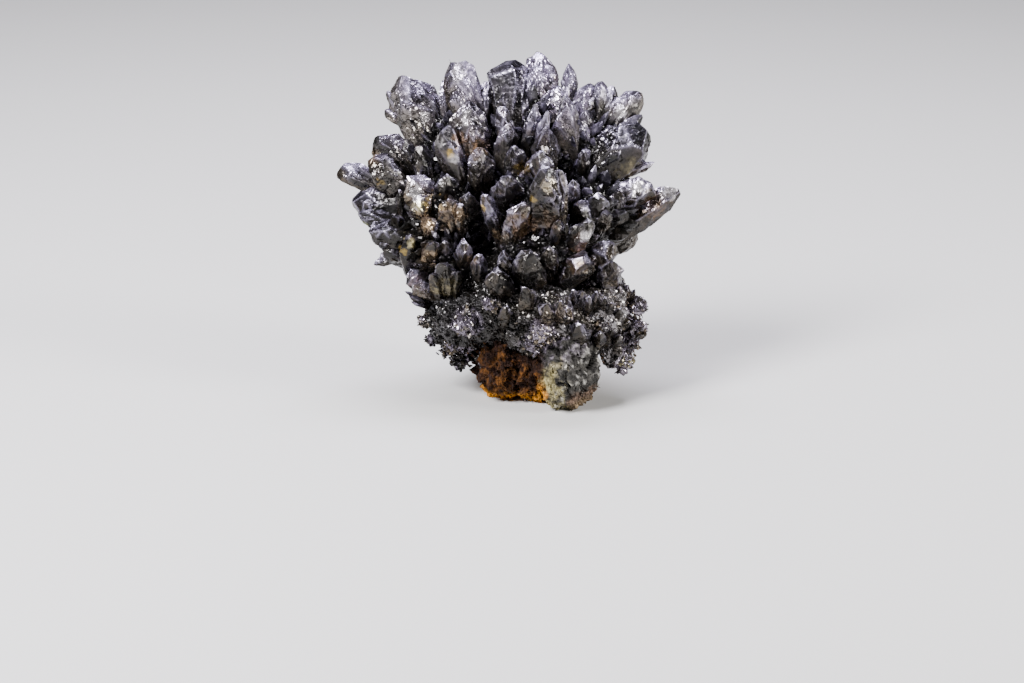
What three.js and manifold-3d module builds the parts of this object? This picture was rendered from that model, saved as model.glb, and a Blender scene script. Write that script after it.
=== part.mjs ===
// A descloizite crystal cluster: three sheaves of spear-shaped crystals radiate from a trunk that is crusted
// with small crystals, and the trunk sits on a foot of rock stained by iron. Millimetres, +Z up, and the
// front faces -Y.
import * as THREE from 'three';
import { mergeVertices } from 'three/addons/utils/BufferGeometryUtils.js';
import Module from 'manifold-3d';

const wasm = await Module();
wasm.setup();

// Driving dimensions.
const seam = 0.3;              // clearance between neighbouring sheaves, and between a sheaf and the trunk
const cutLevel = 0;            // the rock is cut off flat here
const sunk = 1.3;              // length of a crystal against its visible part: the rest is buried
const flatness = 0.8;          // thickness of a crystal against its width
const stout = 8.8;             // crystals wider than this have six faces round them, slimmer ones four
const bellyBack = 0.46;        // share of the visible length from the tip back to the widest place
const shoulderBack = 0.15;
const druseHeight = 2;
const druseWidth = 4.6;
const backCount = 50;           // turns of the spiral that spreads the crystals over the back
const domeMiddle = [1, 27, 33];
const domeReach = [33, 18, 35];
const goldenAngle = Math.PI * (3 - Math.sqrt(5));

// Places are measured from the front toe of the foot, at the level of the ground. Each crystal has the place
// of its tip and of the root of its visible part, its width, how far it is turned about its own axis in
// degrees, and how blunt it is, from 0 for a point to 1 for a flat end.
const leftCrystals = [
  { tip: [-38, 28, 50], root: [-30, 25.5, 45.5], wide: 5.3, turn: 15, blunt: 0.8 },
  { tip: [-36.5, 25, 42], root: [-26.5, 23.5, 42], wide: 7.9, turn: -20, blunt: 0.8 },
  { tip: [-33.5, 21, 41.5], root: [-24, 20.5, 40], wide: 4.4, turn: 10, blunt: 0.6 },
  { tip: [-31, 18, 39], root: [-23.5, 18.5, 37.5], wide: 4.9, turn: 30, blunt: 0.6 },
  { tip: [-29.5, 16, 35.5], root: [-23.5, 17.5, 33.5], wide: 3.5, turn: 0, blunt: 0.5 },
  { tip: [-30.5, 17, 30.5], root: [-25, 18, 33], wide: 2.9, turn: 0, blunt: 0.4 },
  { tip: [-30.5, 21.5, 54], root: [-24.5, 21, 47.5], wide: 6.6, turn: 35, blunt: 0.9 },
  { tip: [-29.5, 25, 57.5], root: [-23.5, 23.5, 51.5], wide: 6.2, turn: 0, blunt: 0.8 },
  { tip: [-23.5, 30, 70], root: [-19, 27, 55], wide: 10.1, turn: -12, blunt: 0.8 },
  { tip: [-28.5, 29, 63], root: [-24.5, 26, 61], wide: 2.9, turn: 20, blunt: 0.5 },
  { tip: [-20, 32, 68.5], root: [-17, 28, 62], wide: 4.2, turn: 15, blunt: 0.6 },
  { tip: [-15.5, 30, 69.5], root: [-14.5, 27, 60], wide: 2.6, turn: 30, blunt: 0.3 },
  { tip: [-12.5, 31, 73.5], root: [-8.5, 27.5, 62.5], wide: 8.8, turn: 10, blunt: 0.6 },
  { tip: [-12, 27, 69], root: [-10.5, 25, 61], wide: 5.3, turn: 20, blunt: 0.4 },
  { tip: [-9.5, 24, 65.5], root: [-9.5, 22.5, 52.5], wide: 7.9, turn: 5, blunt: 0.5 },
  { tip: [-16, 20, 60.5], root: [-11.5, 20, 46], wide: 6.6, turn: 25, blunt: 0.55 },
  { tip: [-7, 18, 57], root: [-8, 18.5, 45.5], wide: 4.6, turn: 0, blunt: 0.6 },
  { tip: [-23.5, 24, 57.5], root: [-21.5, 22.5, 49.5], wide: 4.4, turn: -15, blunt: 0.6 },
  { tip: [-20.5, 22, 56.5], root: [-18.5, 21.5, 47], wide: 4.4, turn: 10, blunt: 0.6 },
  { tip: [-23, 17, 49.5], root: [-19.5, 18, 44], wide: 6.2, turn: 30, blunt: 0.8 },
  { tip: [-22, 15, 46], root: [-18, 16.5, 40.5], wide: 6.0, turn: 10, blunt: 0.8 },
  { tip: [-14.5, 17, 50.5], root: [-15, 18, 42], wide: 4.4, turn: 15, blunt: 0.3 },
  { tip: [-14, 13, 46], root: [-14, 15, 35], wide: 4.4, turn: 35, blunt: 0.6 },
  { tip: [-19, 12.5, 42.5], root: [-17, 15, 36], wide: 4.2, turn: 0, blunt: 0.8 },
  { tip: [-10, 15, 47], root: [-9, 16.5, 37], wide: 4.9, turn: -10, blunt: 0.7 },
  { tip: [-22.5, 12.5, 38], root: [-22.5, 15, 28.5], wide: 4.6, turn: 25, blunt: 0.8 },
  { tip: [-18, 10, 38], root: [-18.5, 13, 29], wide: 4.0, turn: 30, blunt: 0.95 },
  { tip: [-15, 11, 37.5], root: [-14, 14, 28.5], wide: 2.9, turn: 10, blunt: 0.5 },
  { tip: [-28.5, 16, 34], root: [-23.5, 17.5, 31], wide: 4.9, turn: 15, blunt: 0.5 },
];

const centreCrystals = [
  { tip: [-1, 30, 73.5], root: [0, 27, 59], wide: 8.8, turn: 0, blunt: 1 },
  { tip: [6.5, 33, 75], root: [6.5, 29, 64], wide: 6.8, turn: 12, blunt: 0.35 },
  { tip: [12.5, 33, 72.5], root: [12.5, 29, 62.5], wide: 3.3, turn: 0, blunt: 0.3 },
  { tip: [9.5, 29, 68.5], root: [10, 26, 61.5], wide: 5.5, turn: 25, blunt: 0.6 },
  { tip: [-0.5, 21, 62], root: [-2, 20.5, 51], wide: 4.6, turn: 20, blunt: 0.25 },
  { tip: [0.5, 18, 57.5], root: [1.5, 18.5, 48], wide: 4.4, turn: -10, blunt: 0.5 },
  { tip: [5.5, 24, 65.5], root: [3, 22.5, 54.5], wide: 3.1, turn: 30, blunt: 0.3 },
  { tip: [8, 22, 64.5], root: [5, 21.5, 53], wide: 2.4, turn: 10, blunt: 0.3 },
  { tip: [12, 24, 66.5], root: [13.5, 22.5, 47.5], wide: 6.6, turn: 8, blunt: 0.5 },
  { tip: [7.5, 17, 62], root: [7.5, 18, 51], wide: 5.7, turn: 28, blunt: 0.15 },
  { tip: [6, 13, 57], root: [6, 15, 49.5], wide: 4.6, turn: 0, blunt: 0.4 },
  { tip: [7, 6.5, 55.5], root: [7.5, 11, 35], wide: 5.5, turn: 22, blunt: 0.5 },
  { tip: [10, 9, 51], root: [10, 12.5, 40.5], wide: 3.1, turn: 0, blunt: 0.4 },
  { tip: [-0.5, 13, 52], root: [-2, 15, 37], wide: 6.2, turn: 0, blunt: 0.5 },
  { tip: [-5.5, 10, 48.5], root: [-2, 13, 33.5], wide: 5.1, turn: 15, blunt: 0.6 },
  { tip: [2, 8, 47], root: [-0.5, 12, 34], wide: 5.5, turn: 0, blunt: 0.9 },
  { tip: [17, 8, 43], root: [11.5, 12, 32], wide: 5.5, turn: 20, blunt: 0.8 },
  { tip: [13.5, 15, 50.5], root: [13.5, 16.5, 43], wide: 3.1, turn: 10, blunt: 0.6 },
  { tip: [-2, 24, 65], root: [-1, 22.5, 55.5], wide: 4.4, turn: 20, blunt: 0.6 },
  { tip: [2, 26, 66], root: [2, 24, 57.5], wide: 4.4, turn: 0, blunt: 0.9 },
];

const rightCrystals = [
  { tip: [17.5, 31, 68.5], root: [15.5, 27.5, 56], wide: 6.0, turn: 10, blunt: 0.5 },
  { tip: [20, 31, 69], root: [19, 27.5, 57.5], wide: 3.7, turn: 0, blunt: 0.8 },
  { tip: [22, 31, 68], root: [20, 27.5, 57.5], wide: 3.1, turn: 20, blunt: 0.7 },
  { tip: [28, 30, 67], root: [22, 27, 59], wide: 6.0, turn: -10, blunt: 0.7 },
  { tip: [29, 27, 62], root: [19.5, 25, 56], wide: 3.1, turn: 0, blunt: 0.8 },
  { tip: [30, 26, 58], root: [17.5, 24, 49.5], wide: 10.6, turn: 8, blunt: 0.9 },
  { tip: [32, 26, 51.5], root: [24, 24, 49.5], wide: 2.9, turn: 12, blunt: 0.05 },
  { tip: [31.5, 22, 47.5], root: [21, 21.5, 45], wide: 5.7, turn: 15, blunt: 0.6 },
  { tip: [37.5, 25, 45.5], root: [20, 23.5, 34.5], wide: 6.2, turn: 0, blunt: 0.5 },
  { tip: [24, 19, 47], root: [22, 19.5, 38.5], wide: 4.4, turn: 25, blunt: 0.4 },
  { tip: [16.5, 26, 63.5], root: [16, 24, 52.5], wide: 4.9, turn: 10, blunt: 0.6 },
  { tip: [28.5, 22, 44], root: [20, 21.5, 40.5], wide: 3.5, turn: 0, blunt: 0.5 },
  { tip: [19, 13, 47.5], root: [19.5, 15, 41], wide: 4.2, turn: 0, blunt: 0.3 },
  { tip: [14, 13, 45.5], root: [18.5, 15, 40], wide: 4.9, turn: 0, blunt: 0.7 },
];

// Crystals that stand out of the trunk by themselves.
const trunkCrystals = [
  { tip: [22.5, 9, 37.5], root: [18, 12.5, 30.5], wide: 5.5, turn: 10, blunt: 0.8 },
  { tip: [16.5, 6, 35], root: [12, 10.5, 26], wide: 6.6, turn: 0, blunt: 0.9 },
  { tip: [3.5, 3, 37], root: [4, 8.5, 26.5], wide: 6.4, turn: 0, blunt: 0.9 },
  { tip: [8, 4.5, 38], root: [9, 9.5, 28.5], wide: 4.0, turn: 10, blunt: 0.8 },
  { tip: [-2, 5, 37], root: [-0.5, 10, 26], wide: 4.0, turn: 30, blunt: 0.3 },
  { tip: [-10.5, 10, 37.5], root: [-11, 13, 28], wide: 3.1, turn: 0, blunt: 0.5 },
  { tip: [22, 8, 34], root: [20.5, 12, 24], wide: 5.1, turn: 0, blunt: 0.9 },
  { tip: [-4, 4.5, 32.5], root: [-1.5, 9.5, 23.5], wide: 6.0, turn: 0, blunt: 0.5 },
  { tip: [3.5, 2, 29.5], root: [4, 8, 18.5], wide: 4.2, turn: 20, blunt: 0.5 },
  { tip: [8, 0.5, 26], root: [8, 6.5, 16.5], wide: 3.3, turn: 20, blunt: 0.2 },
  { tip: [10.5, 0.5, 26.5], root: [11.5, 7, 16], wide: 3.7, turn: 25, blunt: 0.2 },
  { tip: [-22.5, 11, 27], root: [-16, 14, 23.5], wide: 3.7, turn: 0, blunt: 0.6 },
  { tip: [-17.5, 9.5, 30.5], root: [-16, 13, 22.5], wide: 3.1, turn: 0, blunt: 0.4 },
  { tip: [-14.5, 9, 33], root: [-14, 12.5, 21], wide: 5.1, turn: 0, blunt: 0.7 },
  { tip: [-24.5, 12, 24.5], root: [-19.5, 14.5, 21.5], wide: 2.6, turn: 10, blunt: 0.5 },
  { tip: [-7.5, 9, 35], root: [-7, 12.5, 26.5], wide: 3.1, turn: 0, blunt: 0.5 },
  { tip: [26.5, 13, 26.5], root: [22.5, 15, 22], wide: 4.0, turn: 0, blunt: 0.6 },
  { tip: [30, 13, 22.5], root: [25, 15, 19.5], wide: 4.0, turn: 0, blunt: 0.6 },
  { tip: [30.5, 13, 17], root: [25, 15, 15.5], wide: 4.0, turn: 0, blunt: 0.6 },
  { tip: [28.5, 13, 12.5], root: [23.5, 15, 12], wide: 3.7, turn: 0, blunt: 0.6 },
  { tip: [27, 13, 8.5], root: [22.5, 15, 9.5], wide: 3.5, turn: 0, blunt: 0.6 },
  { tip: [-11.5, 7, 23], root: [-9.5, 11, 15.5], wide: 5.3, turn: 0, blunt: 0.9 },
  { tip: [14, 3, 29], root: [13.5, 8, 20], wide: 4.6, turn: 10, blunt: 0.6 },
  { tip: [19.5, 5, 28], root: [18, 10, 20], wide: 4.4, turn: 0, blunt: 0.6 },
  { tip: [22.5, 6, 23], root: [20, 11, 17], wide: 4, turn: 20, blunt: 0.5 },
  { tip: [-1.5, 3, 25], root: [-1.5, 8, 18], wide: 4.4, turn: 0, blunt: 0.7 },
  { tip: [-5.5, 4, 23], root: [-5.5, 9, 15.5], wide: 4.2, turn: 15, blunt: 0.7 },
  { tip: [7, 0.5, 21.5], root: [8.5, 6, 14], wide: 6, turn: 0, blunt: 0.9 },
];

// Lumps: a middle, three radii and a seed for the dents. On the trunk, "pitch" spaces the small crystals.
const leftCore = [
  { at: [-14, 27.5, 51], radii: [9.5, 5.5, 11], seed: 11 },
  { at: [-15.5, 23.5, 40], radii: [10.5, 8.5, 10], seed: 12 },
  { at: [-16, 18, 34], radii: [7, 6, 5], seed: 13 },
];
const centreCore = [
  { at: [4, 28, 54], radii: [8.5, 5, 13], seed: 21 },
  { at: [5, 22, 43], radii: [9.5, 8.5, 9.5], seed: 22 },
  { at: [7.5, 16, 35], radii: [10, 8, 6.5], seed: 23 },
];
const rightCore = [
  { at: [16.5, 27.5, 52], radii: [8.5, 5, 9.5], seed: 31 },
  { at: [17.5, 23, 41], radii: [8, 7, 8.5], seed: 32 },
];
const trunkLumps = [
  { at: [1, 22, 21], radii: [19, 15, 12.5], seed: 41, pitch: 8.4 },
  { at: [-11.5, 18, 18.5], radii: [8, 8.5, 9], seed: 42, pitch: 11 },
  { at: [19, 15.5, 21], radii: [8, 9, 9], seed: 43, pitch: 10.5 },
  { at: [23, 15, 12.5], radii: [3.6, 4.4, 6], seed: 44, pitch: 7 },
  { at: [7.5, 9.5, 20], radii: [11.5, 6.5, 8.5], seed: 45, pitch: 12.5 },
];
const rockLumps = [
  { at: [2.8, 24, 7.5], radii: [12, 13, 11], seed: 51, detail: 2, rough: 0.045 },
  { at: [12.2, 7.4, 9], radii: [6.8, 6.4, 10.4], seed: 54, detail: 2, rough: 0.045 },
  { at: [-2.6, 13.4, 7.5], radii: [4.6, 5, 8], seed: 52 },
  { at: [5.4, 11.6, 6.6], radii: [4, 4.4, 7.2], seed: 53 },
];

// The same numbers on every run: a small generator with a seed.
function dice(seed) {
  let state = seed * 2654435761 >>> 0;
  return () => {
    state = (state + 0x6d2b79f5) >>> 0;
    let t = Math.imul(state ^ (state >>> 15), 1 | state);
    t = (t + Math.imul(t ^ (t >>> 7), 61 | t)) ^ t;
    return ((t ^ (t >>> 14)) >>> 0) / 4294967296;
  };
}

function solidFrom(positions, index) {
  return new wasm.Manifold(new wasm.Mesh({
    numProp: 3,
    vertProperties: new Float32Array(positions),
    triVerts: new Uint32Array(index),
  }));
}

function closed(geometry) {
  geometry.deleteAttribute('normal');
  geometry.deleteAttribute('uv');
  return mergeVertices(geometry);
}

function joined(solids) {
  return wasm.Manifold.union(solids);
}

function largest(solid) {
  return solid.decompose().reduce((best, body) => (body.volume() > best.volume() ? body : best));
}

// Rings of points, each with the same count, as one closed body with flat ends.
function bodyFromRings(rings) {
  const sides = rings[0].length;
  const index = [];
  for (let r = 0; r < rings.length - 1; r += 1) {
    for (let s = 0; s < sides; s += 1) {
      const a = r * sides + s;
      const b = r * sides + (s + 1) % sides;
      index.push(a, b, b + sides, a, b + sides, a + sides);
    }
  }
  const last = (rings.length - 1) * sides;
  for (let s = 1; s < sides - 1; s += 1) {
    index.push(0, s + 1, s);
    index.push(last, last + s, last + s + 1);
  }
  return solidFrom(rings.flat().flatMap((p) => [p.x, p.y, p.z]), index);
}

// The section of a crystal is a rhomb. On the stout ones its two sharp edges are cut off.
const stoutSection = [[0.5, 0.16], [0.08, 0.5], [-0.5, 0.16], [-0.5, -0.16], [-0.08, -0.5], [0.5, -0.16]];
const slimSection = [[0.58, 0], [0, 0.55], [-0.58, 0], [0, -0.55]];

// How wide a crystal is along its length: [distance back from the tip, share of the full width].
function stationsOf({ wide, blunt, stub }, long) {
  const end = [0, 0.16 + 0.46 * blunt];
  const shoulder = [long * shoulderBack, 0.64 + 0.3 * blunt];
  const belly = [long * bellyBack, 1];
  const root = [long * sunk, 0.72];
  if (stub) return [[long, 1], [0, 0.5]];
  return wide > stout ? [root, belly, shoulder, end] : [root, belly, end];
}

// A crystal: its section carried along its axis from root to tip, with every corner a little out of true and
// the end cut off on the slant. "grow" makes it larger all round.
function spear(shape, random, grow = 0) {
  const tip = new THREE.Vector3(...shape.tip);
  const axis = tip.clone().sub(new THREE.Vector3(...shape.root));
  const stations = stationsOf(shape, axis.length());
  axis.normalize();
  const across = new THREE.Vector3(axis.z, 0, -axis.x).normalize();
  across.applyAxisAngle(axis, THREE.MathUtils.degToRad(shape.turn));
  const depth = new THREE.Vector3().crossVectors(axis, across);
  const section = shape.wide > stout ? stoutSection : slimSection;
  const slant = [0.7 * (random() - 0.5), 0.7 * (random() - 0.5)];
  const rings = stations.map(([back, share], station) => section.map(([u, v]) => {
    const size = shape.wide * share * (1 + 0.14 * (random() - 0.5));
    const w = (size + 2 * grow) * u;
    const t = (size * (shape.flat ?? flatness) + 2 * grow) * v;
    const isTip = station === stations.length - 1;
    const end = isTip ? grow + slant[0] * w + slant[1] * t - 0.1 * shape.wide * shape.blunt : 0;
    const start = station === 0 ? grow : 0;
    return tip.clone().addScaledVector(axis, end - start - back).addScaledVector(across, w)
      .addScaledVector(depth, t);
  }));
  return bodyFromRings(rings);
}

// A lump: a ball with three radii, dented by a few broad waves.
function lump({ at, radii, seed, detail = 1, rough = 0.035 }, grow = 0) {
  const random = dice(seed);
  const waves = Array.from({ length: 5 }, () => ({
    way: new THREE.Vector3(random() - 0.5, random() - 0.5, random() - 0.5).normalize(),
    often: 2.5 + 4 * random(),
    phase: 2 * Math.PI * random(),
  }));
  const ball = closed(new THREE.IcosahedronGeometry(1, detail));
  const place = ball.attributes.position;
  const p = new THREE.Vector3();
  for (let i = 0; i < place.count; i += 1) {
    p.fromBufferAttribute(place, i).normalize();
    const dent = waves.reduce((sum, wave) => sum + Math.sin(wave.often * p.dot(wave.way) + wave.phase), 0);
    const reach = radii.map((radius) => radius * (1 + rough * dent) + grow);
    place.setXYZ(i, at[0] + p.x * reach[0], at[1] + p.y * reach[1], at[2] + p.z * reach[2]);
  }
  return solidFrom(place.array, ball.index.array);
}

// Points spread evenly over a ball by a spiral of equal turns, from the height "top" down to "bottom".
function spiral(count, top, bottom) {
  return Array.from({ length: count }, (_, i) => {
    const up = top - (top - bottom) * (i + 0.5) / count;
    const ring = Math.sqrt(1 - up * up);
    return [Math.cos(i * goldenAngle) * ring, Math.sin(i * goldenAngle) * ring, up];
  });
}

// Crystals all over the back of the dome. They keep inside the outline of the front: the lower they stand,
// the less they spread to the sides.
function backSpears() {
  const random = dice(7);
  const shapes = [];
  for (const [cosine, back, up] of spiral(backCount, 0.96, -0.16)) {
    const side = cosine * (0.86 + 0.3 * up);
    const swell = 0.94 + 0.1 * random();
    const wide = 6.2 + 3 * random();
    const turn = 90 * random() - 45;
    const blunt = 0.4 + 0.5 * random();
    if (back < 0.13) continue;
    const tip = [side, back, up].map((part, k) => domeMiddle[k] + part * domeReach[k] * swell);
    shapes.push({ tip, root: [1 + side * 17, 24 + back * 7, 31 + up * 20], wide, turn, blunt });
  }
  return shapes;
}

// A sheaf, or the trunk: its crystals and its core in one solid.
function sheaf({ crystals, core, seed }, grow = 0) {
  const random = dice(seed);
  const spears = crystals.map((shape) => spear(shape, random, grow));
  return joined([...spears, ...core.map((shape) => lump(shape, grow))]);
}

// The clefts between the sheaves stand at these places on the back.
const leftCleft = -7;
const rightCleft = 12;
const backs = backSpears();
const leftPlan = {
  crystals: [...leftCrystals, ...backs.filter(({ tip }) => tip[0] < leftCleft)],
  core: leftCore,
  seed: 1,
};
const centrePlan = {
  crystals: [...centreCrystals, ...backs.filter(({ tip }) => tip[0] >= leftCleft && tip[0] < rightCleft)],
  core: centreCore,
  seed: 2,
};
const rightPlan = {
  crystals: [...rightCrystals, ...backs.filter(({ tip }) => tip[0] >= rightCleft)],
  core: rightCore,
  seed: 3,
};
const trunkPlan = { crystals: trunkCrystals, core: trunkLumps, seed: 4 };

// Small crystals stand all over the trunk, wherever no sheaf has grown.
function druse() {
  const random = dice(5);
  const taken = joined([leftPlan, centrePlan, rightPlan].map((plan) => sheaf(plan, 2 * seam)));
  const grown = [];
  for (const { at, radii, pitch } of trunkLumps) {
    const area = 4 * Math.PI * (radii[0] * radii[1] + radii[1] * radii[2] + radii[0] * radii[2]) / 3;
    for (const way of spiral(Math.round(area / pitch ** 2), 1, -1)) {
      const inside = trunkLumps.some((other) => other.at !== at && other.at.reduce((sum, middle, k) => {
        return sum + ((at[k] + way[k] * radii[k] - middle) / other.radii[k]) ** 2;
      }, 0) < 1.05);
      const size = 0.75 + 0.6 * random();
      const lean = [random() - 0.5, random() - 0.5, random() - 0.5];
      const turn = 180 * random();
      if (inside) continue;
      const tip = way.map((part, k) => at[k] + part * (radii[k] + druseHeight * size) + lean[k] * 1.6);
      const root = way.map((part, k) => at[k] + part * (radii[k] - 2.5));
      const wide = druseWidth * size;
      const one = spear({ tip, root, wide, flat: 0.9, turn, blunt: 0, stub: true }, random);
      if (tip[2] > druseHeight && one.intersect(taken).isEmpty()) grown.push(one);
    }
  }
  return grown;
}

function groundBlock() {
  const size = 200;
  const block = closed(new THREE.BoxGeometry(size, size, size).translate(0, 0, cutLevel - size / 2));
  return solidFrom(block.attributes.position.array, block.index.array);
}

// Each solid is cut back from the ones that it leans on, so that a seam runs between them.
const ground = groundBlock();
const rock = joined(rockLumps.map((shape) => lump(shape))).subtract(ground);
const rockRoom = joined(rockLumps.map((shape) => lump(shape, seam)));
const trunk = largest(joined([sheaf(trunkPlan), ...druse()]).subtract(joined([rockRoom, ground])));
const trunkRoom = sheaf(trunkPlan, seam);
const centre = largest(sheaf(centrePlan).subtract(trunkRoom));
const middleRoom = joined([trunkRoom, sheaf(centrePlan, seam)]);
const left = largest(sheaf(leftPlan).subtract(middleRoom));
const right = largest(sheaf(rightPlan).subtract(middleRoom));

function meshOf(name, solid, colour, roughness, metalness) {
  const { vertProperties, triVerts } = solid.getMesh();
  const geometry = new THREE.BufferGeometry();
  geometry.setAttribute('position', new THREE.BufferAttribute(vertProperties, 3));
  geometry.setIndex(new THREE.BufferAttribute(triVerts, 1));
  geometry.computeVertexNormals();
  const material = new THREE.MeshStandardMaterial({ color: colour, roughness, metalness, flatShading: true });
  const mesh = new THREE.Mesh(geometry, material);
  mesh.name = name;
  return mesh;
}

const cluster = new THREE.Group();
cluster.add(
  meshOf('matrix_rock', rock, 0x6b4a2a, 0.9, 0),
  meshOf('drusy_trunk', trunk, 0x57534d, 0.45, 0.3),
  meshOf('left_sheaf', left, 0x6e6c70, 0.4, 0.35),
  meshOf('centre_sheaf', centre, 0x605d5c, 0.4, 0.35),
  meshOf('right_sheaf', right, 0x68666a, 0.4, 0.35),
);

// The origin is under the middle of the cluster, on the ground.
const box = new THREE.Box3().setFromObject(cluster);
const middle = box.getCenter(new THREE.Vector3());
cluster.position.set(-middle.x, -middle.y, -box.min.z);

export default cluster;
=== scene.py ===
# A descloizite crystal cluster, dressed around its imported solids. Shapes are worked out in millimetres,
# measured as the solids are: x to the right, y to the back from the front toe of the foot, and z up from the
# ground. What is seen from the front is placed by its pixel and its depth.
import math
from itertools import product

import bpy
import numpy as np
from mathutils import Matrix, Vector


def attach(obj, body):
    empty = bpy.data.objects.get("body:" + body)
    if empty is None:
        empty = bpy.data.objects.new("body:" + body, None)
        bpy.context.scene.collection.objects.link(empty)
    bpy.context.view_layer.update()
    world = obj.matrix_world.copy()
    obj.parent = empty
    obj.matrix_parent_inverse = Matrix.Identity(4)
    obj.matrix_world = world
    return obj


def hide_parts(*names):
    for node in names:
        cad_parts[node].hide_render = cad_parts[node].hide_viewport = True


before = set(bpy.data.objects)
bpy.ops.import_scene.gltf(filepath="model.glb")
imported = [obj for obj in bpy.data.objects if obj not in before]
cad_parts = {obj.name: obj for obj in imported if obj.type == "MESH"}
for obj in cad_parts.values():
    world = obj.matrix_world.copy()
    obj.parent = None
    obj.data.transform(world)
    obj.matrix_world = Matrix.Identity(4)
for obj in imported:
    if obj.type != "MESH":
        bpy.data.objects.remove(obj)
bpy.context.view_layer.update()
mm = 0.001
toe = np.array([0.0504, -22.0838, 0.0])  # where the front toe of the foot lies in the frame, in millimetres
goldenAngle = math.pi * (3 - math.sqrt(5))

camera = {
    "lens": 100,
    "distance": 626,
    "down": 19.0,  # degrees
    "aim": (0, 0, 17.97),
    "middle": (512, 341.5),  # of the picture, 1024 by 683 pixels
    "focal": 2844,  # the lens in pixels of the picture
    "pixel": 0.22,  # how much of the cluster a pixel spans
}


def setCamera():
    # it looks along y, tilted down by an angle: the line of sight is (0, cosine, -sine)
    angle = math.radians(camera["down"])
    look = Vector((0, math.cos(angle), -math.sin(angle)))
    data = bpy.data.cameras.new("camera")
    data.lens = camera["lens"]
    data.clip_start = 0.01
    eye = bpy.data.objects.new("camera", data)
    eye.location = (Vector(camera["aim"]) + Vector(toe) - camera["distance"] * look) * mm
    eye.rotation_euler = look.to_track_quat("-Z", "Y").to_euler()
    bpy.context.scene.collection.objects.link(eye)
    bpy.context.scene.camera = eye


setCamera()
print("camera set")


def seen(column, row, back):
    # x and z of what a pixel shows, if it lies that far back: the line of sight runs from the eye along
    # (right, cosine + above x sine, above x cosine - sine), drawn out until its y is that depth
    angle = math.radians(camera["down"])
    sine, cosine = math.sin(angle), math.cos(angle)
    right = (column - camera["middle"][0]) / camera["focal"]
    above = (camera["middle"][1] - row) / camera["focal"]
    far = (back + camera["distance"] * cosine) / (cosine + above * sine)
    high = camera["aim"][2] + camera["distance"] * sine
    return far * right, high + far * (above * cosine - sine)


def spot(column, row, back):
    # the place of what a pixel shows, to half a millimetre, which is as close as a pixel tells
    right, high = seen(column, row, back)
    return round(2 * right) / 2, back, round(2 * high) / 2


def spanned(pixels):
    # pixels x what a pixel spans, to a tenth of a millimetre
    return round(camera["pixel"] * pixels, 1)


def crystalsAt(rows):
    # crystals from rows of pixels: the spots of the tip and the root, the width, and the rest as it is
    return [(*spot(*row[:3]), *spot(*row[3:6]), spanned(row[6]), *row[7:]) for row in rows]


def knobsAt(rows):
    # round knobs from rows of pixels: the spot and the radius
    return [(*spot(*row[:3]), spanned(row[3])) for row in rows]


def stainsAndGlintsAt(rows):
    # stains and painted glints from rows of pixels: x and z to a tenth of a millimetre, the radius, and the
    # rest as it is
    return [(*np.round(seen(*row[:3]), 1), spanned(row[3]), *row[4:]) for row in rows]


def scattered(cells, seed):
    # whole numbers stirred into numbers spread evenly from 0 to 1
    c = cells.astype(np.int64)
    h = (c[..., 0] * 73856093) ^ (c[..., 1] * 19349663) ^ (c[..., 2] * 83492791) ^ (seed * 2654435761)
    h &= 0xFFFFFFFF
    h = ((h ^ (h >> 16)) * 0x2C1B3C6D) & 0xFFFFFFFF
    h = ((h ^ (h >> 13)) * 0x297A2D39) & 0xFFFFFFFF
    return (h ^ (h >> 16)) / 4294967296


def clouds(p, size, seed):
    # soft noise from -1 to 1: random numbers on a lattice, eased from corner to corner
    q = p / size
    low = np.floor(q)
    f = q - low
    f = f * f * (3 - 2 * f)
    total = np.zeros(len(p))
    for corner in product((0, 1), repeat=3):
        step = np.array(corner)
        weight = np.prod(np.where(step, f, 1 - f), axis=1)
        total += weight * scattered(low + step, seed)
    return total * 2 - 1


def facets(p, size, seed):
    # every point takes the sloping plane of the nearest of many scattered centres: the gap to the centre x
    # its slope. Also a number for each centre
    q = p / size
    low = np.floor(q)
    nearest = np.full(len(p), np.inf)
    height = np.zeros(len(p))
    mark = np.zeros(len(p))
    for step in product((-1, 0, 1), repeat=3):
        cell = low + np.array(step)
        centre = cell + np.stack([scattered(cell, seed + k) for k in range(3)], axis=1)
        gap = q - centre
        away = (gap * gap).sum(axis=1)
        closer = away < nearest
        c = cell[closer]
        slope = np.stack([scattered(c, seed + k) for k in (3, 4, 5)], axis=1) - 0.5
        nearest[closer] = away[closer]
        height[closer] = (gap[closer] * slope).sum(axis=1) * size
        mark[closer] = scattered(c, seed + 6)
    return height, mark


def ease(low, high, x):
    # 0 at low and 1 at high, with t t (3 - 2 t) between them
    t = np.clip((x - low) / (high - low), 0, 1)
    return t * t * (3 - 2 * t)


def blend(first, second, share):
    # the first moved towards the second by each point's share of the way
    return first + (np.asarray(second) - first) * share[:, None]


def unit(vectors):
    # each vector / its own length
    return vectors / np.linalg.norm(vectors, axis=1, keepdims=True)


def gridFaces(rows, columns, start):
    # triangles of a grid that closes on itself sideways, with a point at each end
    r, c = np.meshgrid(np.arange(rows - 1), np.arange(columns), indexing="ij")
    a = start + 1 + r * columns + c
    b = start + 1 + r * columns + (c + 1) % columns
    sides = np.stack([a, b, b + columns, a, b + columns, a + columns], axis=-1).reshape(-1, 3)
    ring = np.arange(columns)
    after = (ring + 1) % columns
    first = np.stack([np.full(columns, start), start + 1 + after, start + 1 + ring], axis=1)
    last = start + 1 + (rows - 1) * columns
    end = np.stack([np.full(columns, last + columns), last + ring, last + after], axis=1)
    return np.concatenate([first, sides, end])


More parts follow.
